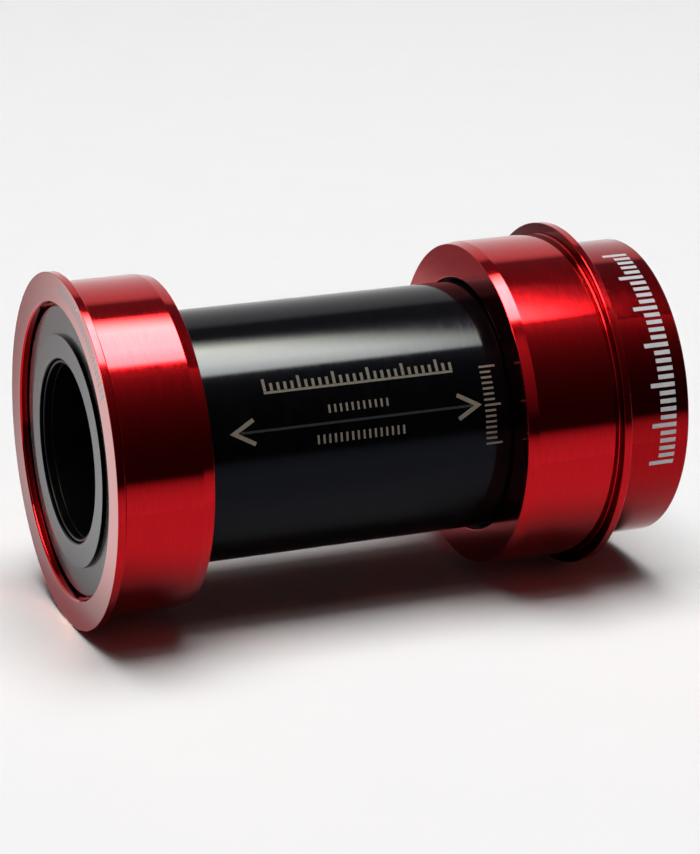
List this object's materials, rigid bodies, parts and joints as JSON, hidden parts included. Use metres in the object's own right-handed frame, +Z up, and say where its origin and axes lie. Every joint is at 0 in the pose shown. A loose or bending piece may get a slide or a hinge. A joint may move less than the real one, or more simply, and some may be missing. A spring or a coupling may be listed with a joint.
{
  "type": "bottom bracket",
  "caption": "Press-fit bicycle bottom bracket: a flush cup and an external cup in red, joined by a sliding black dust sleeve, with dust covers that turn with the spindle.",
  "frame": {"origin": "on the spindle axis, midway between the outer faces of the two cups with both cups pushed together", "axes": "+X along the spindle axis towards the right (drive side) external cup, +Y forwards on the bicycle, +Z up"},
  "size_m": [0.0842, 0.049, 0.049],
  "materials": {
    "red_anodised_aluminium": "turned and red anodised",
    "black_sleeve_plastic": "glossy, lightly scuffed",
    "satin_grey_cover": "satin",
    "bearing_steel": "ground",
    "ceramic_ball": "polished silicon nitride",
    "cage_nylon": "moulded",
    "seal_rubber": "matt",
    "bush_polymer": "smooth"
  },
  "bodies": {
    "right_cup": {"right_cup": "red_anodised_aluminium", "right_sleeve_o_ring": "seal_rubber", "right_outer_race": "bearing_steel", "right_outboard_bearing_seal": "seal_rubber", "right_inboard_bearing_seal": "seal_rubber"},
    "sleeve": {"centre_sleeve": "black_sleeve_plastic"},
    "left_cup": {"left_cup": "red_anodised_aluminium", "left_sleeve_o_ring": "seal_rubber", "left_outer_race": "bearing_steel", "left_outboard_bearing_seal": "seal_rubber", "left_inboard_bearing_seal": "seal_rubber"},
    "right_spindle_parts": {"right_inner_race": "bearing_steel", "right_dust_cover": "satin_grey_cover", "right_cover_lip_seal": "seal_rubber", "right_spindle_bush": "bush_polymer"},
    "right_ball_set": {"right_ball_cage": "cage_nylon", "right_ball_01": "ceramic_ball", "right_ball_02": "ceramic_ball", "right_ball_03": "ceramic_ball", "right_ball_04": "ceramic_ball", "right_ball_05": "ceramic_ball", "right_ball_06": "ceramic_ball", "right_ball_07": "ceramic_ball", "right_ball_08": "ceramic_ball", "right_ball_09": "ceramic_ball", "right_ball_10": "ceramic_ball", "right_ball_11": "ceramic_ball", "right_ball_12": "ceramic_ball", "right_ball_13": "ceramic_ball", "right_ball_14": "ceramic_ball", "right_ball_15": "ceramic_ball", "right_ball_16": "ceramic_ball"},
    "left_spindle_parts": {"left_inner_race": "bearing_steel", "left_dust_cover": "satin_grey_cover", "left_cover_lip_seal": "seal_rubber", "left_spindle_bush": "bush_polymer"},
    "left_ball_set": {"left_ball_cage": "cage_nylon", "left_ball_01": "ceramic_ball", "left_ball_02": "ceramic_ball", "left_ball_03": "ceramic_ball", "left_ball_04": "ceramic_ball", "left_ball_05": "ceramic_ball", "left_ball_06": "ceramic_ball", "left_ball_07": "ceramic_ball", "left_ball_08": "ceramic_ball", "left_ball_09": "ceramic_ball", "left_ball_10": "ceramic_ball", "left_ball_11": "ceramic_ball", "left_ball_12": "ceramic_ball", "left_ball_13": "ceramic_ball", "left_ball_14": "ceramic_ball", "left_ball_15": "ceramic_ball", "left_ball_16": "ceramic_ball"}
  },
  "joints": [
    {"name": "sleeve_slide", "type": "slide", "parent": "right_cup", "child": "sleeve", "axis": [-1, 0, 0], "range_m": [0, 0.013]},
    {"name": "left_cup_slide", "type": "slide", "parent": "sleeve", "child": "left_cup", "axis": [-1, 0, 0], "range_m": [0, 0.002]},
    {"name": "right_spindle_spin", "type": "hinge", "parent": "right_cup", "child": "right_spindle_parts", "pos_m": [0.0363, 0, 0], "axis": [1, 0, 0], "continuous": true},
    {"name": "left_spindle_spin", "type": "hinge", "parent": "left_cup", "child": "left_spindle_parts", "pos_m": [-0.0363, 0, 0], "axis": [1, 0, 0], "continuous": true},
    {"name": "right_ball_orbit", "type": "hinge", "parent": "right_cup", "child": "right_ball_set", "pos_m": [0.0363, 0, 0], "axis": [1, 0, 0], "continuous": true},
    {"name": "left_ball_orbit", "type": "hinge", "parent": "left_cup", "child": "left_ball_set", "pos_m": [-0.0363, 0, 0], "axis": [1, 0, 0], "continuous": true}
  ],
  "couplings": [
    {"joint": "right_ball_orbit", "follows": "right_spindle_spin", "ratio": 0.4435},
    {"joint": "left_ball_orbit", "follows": "left_spindle_spin", "ratio": 0.4435}
  ]
}
